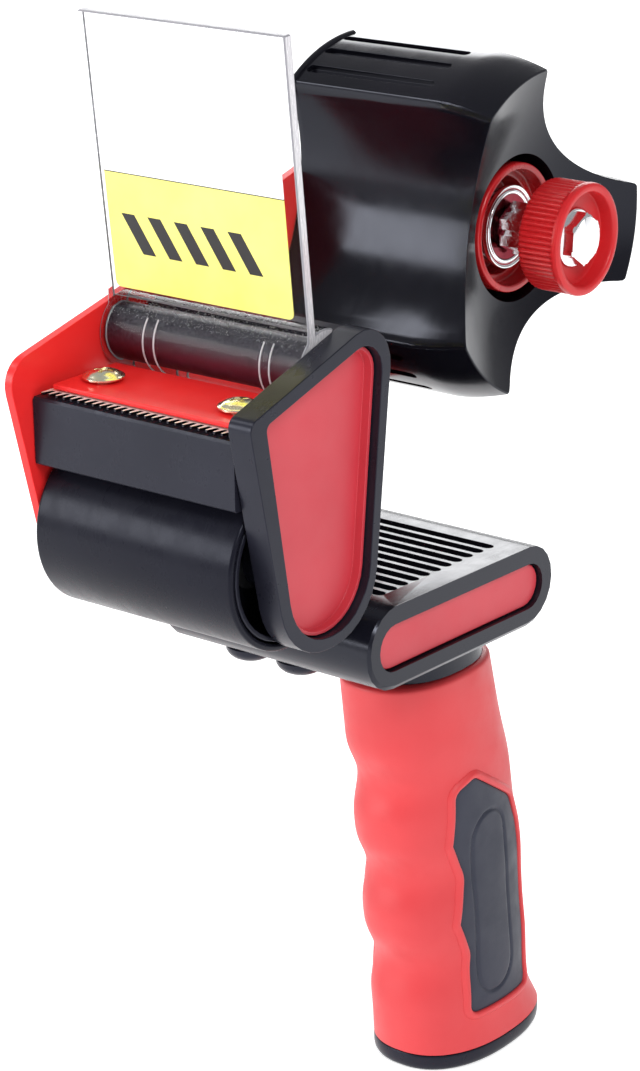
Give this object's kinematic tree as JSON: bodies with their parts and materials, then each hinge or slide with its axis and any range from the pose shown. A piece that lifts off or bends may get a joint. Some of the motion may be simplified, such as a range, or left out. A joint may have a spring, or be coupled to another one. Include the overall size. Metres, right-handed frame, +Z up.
{
  "type": "hand-held tape dispenser",
  "caption": "Pistol-grip packing tape dispenser: rubber press roller, serrated cutting blade, clear hinged guard flap, and a lobed tape hub with an adjustable friction brake.",
  "frame": {"origin": "centre of the handle's flat bottom face", "axes": "+X points forward, to the roller and blade; +Y points to the open side, where a tape roll slides onto the hub; +Z points up from the handle's bottom"},
  "size_m": [0.1487, 0.064, 0.2488],
  "materials": {
    "red_painted_steel": "gloss",
    "black_satin_plastic": "satin",
    "black_gloss_plastic": "gloss",
    "red_plastic": "satin",
    "red_grip": "matte",
    "grey_grip_panel": "matte",
    "roller_rubber": "satin",
    "steel": "brushed",
    "zinc_yellow": "yellow zinc plated",
    "bright_nut": "polished",
    "bush_black": "satin",
    "felt": "matte",
    "clear_plastic": "clear",
    "label_film": "printed film"
  },
  "bodies": {
    "frame": {"frame_plate": "red_painted_steel", "blade_ledge": "red_painted_steel", "frame_tongue": "steel", "blade": "steel", "blade_screw_far": "zinc_yellow", "blade_screw_near": "zinc_yellow", "front_bar": "black_satin_plastic", "bar_screw": "steel", "rear_crossbar": "black_satin_plastic", "crossbar_screw": "steel", "near_cover": "black_satin_plastic", "cover_insert": "red_plastic", "front_dowel": "steel", "rear_dowel": "steel", "roller_axle": "steel", "roller_spacer": "steel", "hub_spindle": "steel", "hub_side_washer": "bush_black", "friction_pad": "felt", "brake_cup": "red_plastic", "brake_spring": "steel", "flap_pivot_bar": "black_satin_plastic", "base_body": "black_gloss_plastic", "base_insert": "red_plastic", "base_screw_far": "black_satin_plastic", "base_screw_near": "black_satin_plastic", "handle_core": "black_satin_plastic", "handle_bolt": "steel", "grip": "red_grip", "grip_panel_near": "grey_grip_panel", "grip_panel_far": "grey_grip_panel", "handle_cap": "black_satin_plastic"},
    "roller": {"roller_core": "black_satin_plastic", "roller_sleeve": "roller_rubber", "roller_bush_far": "bush_black", "roller_bush_near": "bush_black"},
    "hub": {"tape_hub": "black_gloss_plastic", "hub_bush_far": "bush_black", "hub_bush_near": "bush_black"},
    "carriage": {"brake_washer": "bright_nut", "spacer_nut": "bright_nut"},
    "knob": {"tension_knob": "red_plastic", "knob_nut": "bright_nut"},
    "flap": {"clear_flap": "clear_plastic", "flap_label": "label_film"}
  },
  "joints": [
    {"name": "roller_spin", "type": "hinge", "parent": "frame", "child": "roller", "pos_m": [0.0847, 0, 0.1457], "axis": [0, 1, 0], "continuous": true},
    {"name": "hub_spin", "type": "hinge", "parent": "frame", "child": "hub", "pos_m": [-0.0042, 0, 0.1935], "axis": [0, 1, 0], "continuous": true},
    {"name": "tension_travel", "type": "slide", "parent": "frame", "child": "carriage", "axis": [0, 1, 0], "range_m": [-0.001, 0.001], "deforming": ["brake_spring"]},
    {"name": "knob_turn", "type": "hinge", "parent": "carriage", "child": "knob", "pos_m": [-0.0042, 0.025, 0.1935], "axis": [0, 1, 0], "range_deg": [-360, 360]},
    {"name": "flap_pivot", "type": "hinge", "parent": "frame", "child": "flap", "pos_m": [0.0728, 0, 0.1825], "axis": [0, 1, 0], "range_deg": [-30, 0]}
  ],
  "couplings": [
    {"joint": "knob_turn", "follows": "tension_travel", "rad_per_m": 6283.2}
  ]
}
